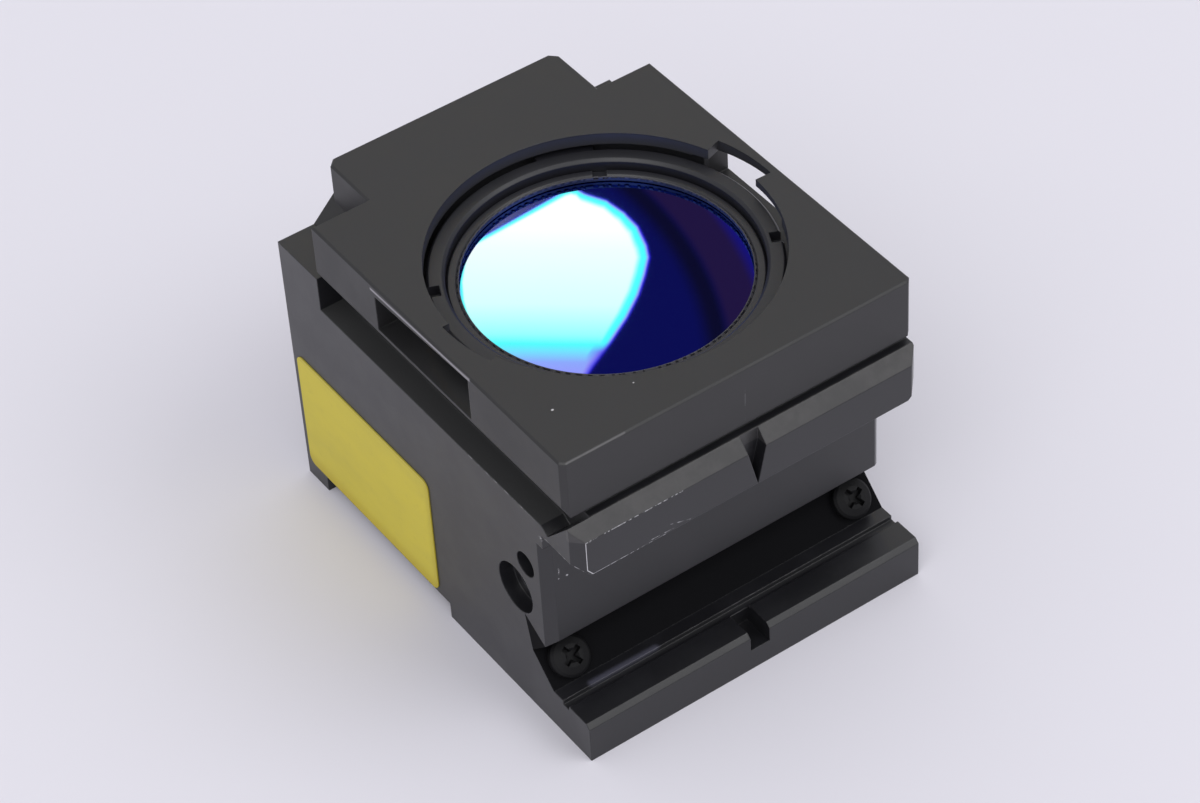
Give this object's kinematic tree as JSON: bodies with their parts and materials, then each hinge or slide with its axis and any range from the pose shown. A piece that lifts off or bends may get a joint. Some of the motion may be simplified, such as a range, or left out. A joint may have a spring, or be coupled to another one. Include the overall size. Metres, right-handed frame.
{
  "type": "fluorescence filter cube",
  "caption": "Black filter block that slides into a turret: round emission port with a coated filter on top, mirror at 45 degrees inside, exciter port at the back.",
  "frame": {"origin": "where the emission axis meets the face that the cube stands on", "axes": "+Z along the emission axis, out of the top port; +Y along the exciter axis, out of the back port; X along the turret slide, with the label on the -X side"},
  "size_m": [0.0401, 0.0503, 0.0384],
  "materials": {
    "moulded_black": "fine moulded grain",
    "anodised_black": "black anodised, matt",
    "screw_black": "black oxide",
    "spring_steel": "satin",
    "label_yellow": "printed film, worn, left blank",
    "emitter_coating": "deep blue interference coating",
    "exciter_coating": "interference coating",
    "mirror_coating": "dichroic coating"
  },
  "bodies": {
    "root": {"housing": "moulded_black", "top_plate": "moulded_black", "label": "label_yellow", "plate_screw_1": "screw_black", "plate_screw_2": "screw_black", "plate_screw_3": "screw_black", "plate_screw_4": "screw_black", "emitter_cell": "moulded_black", "emitter_mount": "anodised_black", "emitter_glass": "emitter_coating", "emitter_retaining_ring": "anodised_black", "exciter_mount": "anodised_black", "exciter_glass": "exciter_coating", "exciter_retaining_ring": "anodised_black", "mirror_frame": "anodised_black", "beam_splitter": "mirror_coating", "mirror_clip_left": "spring_steel", "mirror_clip_right": "spring_steel", "clip_screw_left": "screw_black", "clip_screw_right": "screw_black", "frame_screw_left": "screw_black", "frame_screw_right": "screw_black"}
  },
  "joints": []
}
